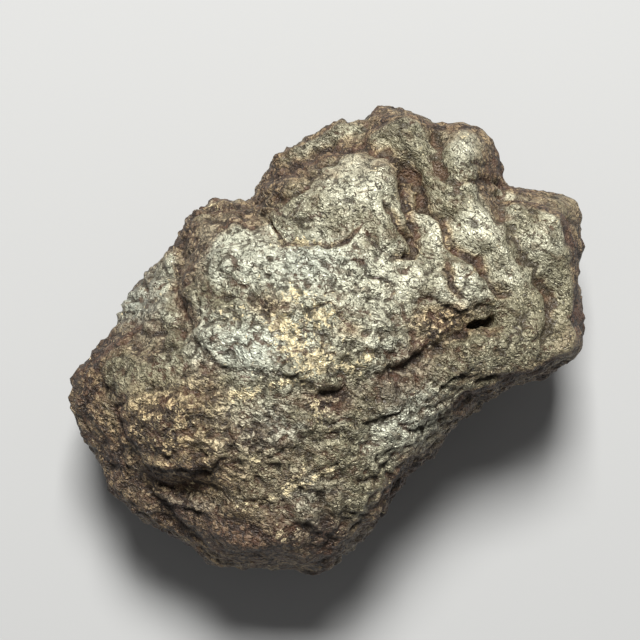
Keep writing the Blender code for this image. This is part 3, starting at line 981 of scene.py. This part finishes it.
# How strongly the painted shade lies in wrinkles, pits, valleys, pores and between cobbles, and how much
# ochre it hides.
WRINKLE_SHADE = 0.9
RECESS_SHADE = 0.9
VALLEY_SHADE = 0.5
PORE_SHADE = 0.8
COBBLE_SHADE = 0.95
SHADE_OVER_STAIN = 0.8

# The sheen.
ROUGHNESS = 0.41
ROUGHER_IN_CALM = 0.05
ROUGHER_IN_BROWN = 0.14
ROUGHER_IN_FINE = 0.25
METAL = 0.35
METAL_LOST_IN_BROWN = 0.85
MIRROR_LEVEL = 0.55

# The finest relief, in millimetres.
FINE_RISE = 0.6
SPECK_RISE = 0.08
RISE_LOST_IN_CALM = 0.5
COBBLE_DEPTH = 0.22
WRINKLE_DEPTH = 0.14
FOLD_DEPTH = 0.20


def crust_patterns(board):
    """What breaks up the crust's colour, sheen and relief: values kept by the mesh, and noises."""
    names = ("brown", "flank", "ochre", "pale", "cool", "calm", "seam", "recess", "valley")
    crust = SimpleNamespace(**{name: board.noted(name) for name in names})
    place = board.node("ShaderNodeTexCoord", {}, {}, "Object")
    crust.where = board.scaled(place, 1.0 / MM)
    stir = board.scaled(board.grain(crust.where, STIR, "Color"), STIR_REACH)
    crust.stirred = board.added(crust.where, stir)
    grained = board.stretched(crust.stirred, GRAIN_TURN, GRAIN_LONGER)
    clouds = board.grain(crust.where, CLOUDS)
    crust.clouded = clouds - NOISE_MIDDLE
    crust.fine = board.grain(grained, FINE)
    crust.specks = board.grain(crust.where, SPECKS)
    breaks = board.grain(crust.where, BREAKS)
    crust.fold = board.creases(grained, FOLDS, FOLD_WIDTH) * breaks.ramp(*FOLD_EDGE)
    crust.wrinkle = board.creases(grained, WRINKLES, WRINKLE_WIDTH) * breaks.ramp(*WRINKLE_EDGE)
    crust.cobbles = board.cobbles(crust.stirred, COBBLE_SIZE)
    crust.low_lying = crust.valley.ramp(*VALLEY_EDGE)
    # The valleys are browned as painted shade.
    browned = crust.brown + VALLEY_BROWN_SHADE * crust.low_lying + BROWN_FROM_CLOUDS * crust.clouded
    crust.browned = browned.ramp(*BROWN_EDGE)
    coarse = (1 - crust.calm) * clouds.ramp(*COARSE_EDGE)
    crust.coarse = crust.browned.most(coarse * COARSE_OUTSIDE_BROWN)
    mottled = board.grain(grained, MOTTLES) + MOTTLE_FROM_BROWN * crust.browned
    crust.mottled = (mottled - MOTTLE_LOST_IN_CALM * crust.calm).ramp(*MOTTLE_EDGE)
    return crust


def crust_shade(crust):
    """How much painted shade lies in the crust's creases, seams, pits and pores, in its valleys and between
    its cobbles.
    """
    shade = (crust.wrinkle * WRINKLE_SHADE).most(crust.fold).most(crust.seam)
    shade = shade.most(crust.recess.ramp(*RECESS_EDGE) * RECESS_SHADE)
    shade = shade.most(crust.low_lying * VALLEY_SHADE)
    shade = shade.most(crust.fine.ramp(*PORE_EDGE) * PORE_SHADE)
    return shade.most(crust.cobbles.ramp(*COBBLE_EDGE) * crust.coarse * COBBLE_SHADE)


def skin_colour(board, crust):
    """Pale where the skin is whole, brown and mottled where it is worn, browner with painted shade in the
    valleys, and painted shade in umber on the flanks.
    """
    paled = (crust.pale + PALE_FROM_CLOUDS * crust.clouded).ramp(*PALE_EDGE)
    skin = board.blend(paled, OLIVE, board.blend(crust.cool, CREAM, MINT))
    skin = board.blend(crust.browned, skin, board.blend(crust.cool, TAN, SAGE))
    mottle_cover = MOTTLE_COVER + MOTTLE_COVER_IN_BROWN * crust.browned
    skin = board.blend(crust.mottled * mottle_cover, skin, CHOCOLATE)
    # Painted shade in umber on the flanks.
    return board.blend(crust.flank * FLANK_SHADE_COVER, skin, SHADE_UMBER)


def shade_colour(board, crust):
    """The colour of the painted shade: dark olive, or dark brown where the crust is brown, with spots of
    rust.
    """
    shade = board.blend(crust.browned, DARK_OLIVE, DARK_BROWN)
    rusted = board.grain(crust.where, RUST_SPOTS).ramp(*RUST_EDGE)
    return board.blend(rusted * RUST_COVER, shade, RUST)


def stained_with_ochre(board, crust, shaded, colour):
    """The colour with ochre crumbs scattered over it, fewer where painted shade lies."""
    crumbs = board.grain(crust.stirred, STAINS) - NOISE_MIDDLE
    stained = (STAIN_FROM_OCHRE * crust.ochre + STAIN_FROM_NOISE * crumbs).ramp(*STAIN_EDGE)
    return board.blend(stained * (1 - SHADE_OVER_STAIN * shaded), colour, OCHRE_YELLOW)


def crust_relief(board, crust):
    """The crust's finest lumps, cobbles, wrinkles and folds, as a bump."""
    relief = (FINE_RISE * crust.fine + SPECK_RISE * crust.specks) * (1 - RISE_LOST_IN_CALM * crust.calm)
    relief = relief - COBBLE_DEPTH * crust.coarse * crust.cobbles
    relief = relief - WRINKLE_DEPTH * crust.wrinkle - FOLD_DEPTH * crust.fold
    return board.node("ShaderNodeBump", {}, {"Strength": 1.0, "Distance": MM, "Height": relief}, "Normal")


def crust_material():
    """Satin weathered crust: pale skin on the high places, painted shade in the creases, and ochre stains.
    """
    board = Board("stone crust")
    crust = crust_patterns(board)
    shaded = crust_shade(crust)
    # Painted shade in the creases, seams, pits, valleys and pores.
    colour = board.blend(shaded, skin_colour(board, crust), shade_colour(board, crust))
    board.feed(board.inputs["Base Color"], stained_with_ochre(board, crust, shaded, colour))
    gloss = ROUGHNESS + ROUGHER_IN_CALM * crust.calm + ROUGHER_IN_BROWN * crust.browned
    board.feed(board.inputs["Roughness"], gloss + ROUGHER_IN_FINE * (crust.fine - NOISE_MIDDLE))
    metal = METAL * (1 - METAL_LOST_IN_BROWN * crust.browned) * (1 - shaded)
    board.feed(board.inputs["Metallic"], metal)
    board.feed(board.inputs["Specular IOR Level"], MIRROR_LEVEL)
    board.feed(board.inputs["Normal"], crust_relief(board, crust))
    return board.material


def make_stone():
    """The meteorite's crust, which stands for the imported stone."""
    stone = bpy.data.objects.new("stone", stone_mesh())
    scene.collection.objects.link(stone)
    stone.data.materials.append(crust_material())
    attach(stone, "root")
    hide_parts("meteorite")


# Setting, in metres

FLOOR_SIDE = 4.0
FLOOR_COLOUR = (0.42, 0.42, 0.41, 1.0)
FLOOR_ROUGHNESS = 0.8
WORLD_COLOUR = (0.98, 0.98, 1.0, 1.0)
WORLD_STRENGTH = 0.15
KEY_PLACE = (0.0, 0.36, 0.60)
KEY_SIDE = 0.20
KEY_POWER = 9.0
NEAREST_SEEN = 0.01


def make_floor():
    """The plain pale floor that the stone lies on."""
    half = FLOOR_SIDE / 2
    corners = [(x * half, y * half, 0.0) for x, y in ((-1, -1), (1, -1), (1, 1), (-1, 1))]
    mesh = bpy.data.meshes.new("floor")
    mesh.from_pydata(corners, [], [(0, 1, 2, 3)])
    floor = bpy.data.objects.new("floor", mesh)
    scene.collection.objects.link(floor)
    board = Board("pale floor")
    board.feed(board.inputs["Base Color"], FLOOR_COLOUR)
    board.feed(board.inputs["Roughness"], FLOOR_ROUGHNESS)
    mesh.materials.append(board.material)


def make_light():
    """A soft lamp over the top of the picture, in an evenly lit room."""
    world = bpy.data.worlds.new("room")
    world.use_nodes = True
    background = world.node_tree.nodes["Background"]
    background.inputs["Color"].default_value = WORLD_COLOUR
    background.inputs["Strength"].default_value = WORLD_STRENGTH
    scene.world = world
    lamp = bpy.data.lights.new("key", "AREA")
    lamp.size = KEY_SIDE
    lamp.energy = KEY_POWER
    key = bpy.data.objects.new("key", lamp)
    scene.collection.objects.link(key)
    key.location = KEY_PLACE
    key.rotation_mode = "QUATERNION"
    key.rotation_quaternion = Vector(KEY_PLACE).to_track_quat("Z", "Y")


def make_camera():
    """The camera straight above, with the photograph's framing."""
    view = bpy.data.cameras.new("camera")
    view.sensor_width = SENSOR
    view.lens = SENSOR * CAMERA_RISE * PIXELS_PER_MM / PICTURE_SIDE
    view.clip_start = NEAREST_SEEN
    camera = bpy.data.objects.new("camera", view)
    scene.collection.objects.link(camera)
    camera.location = Vector(camera_place()) * MM
    scene.camera = camera


make_floor()
make_light()
make_camera()
make_stone()
scene.view_settings.view_transform = "Standard"
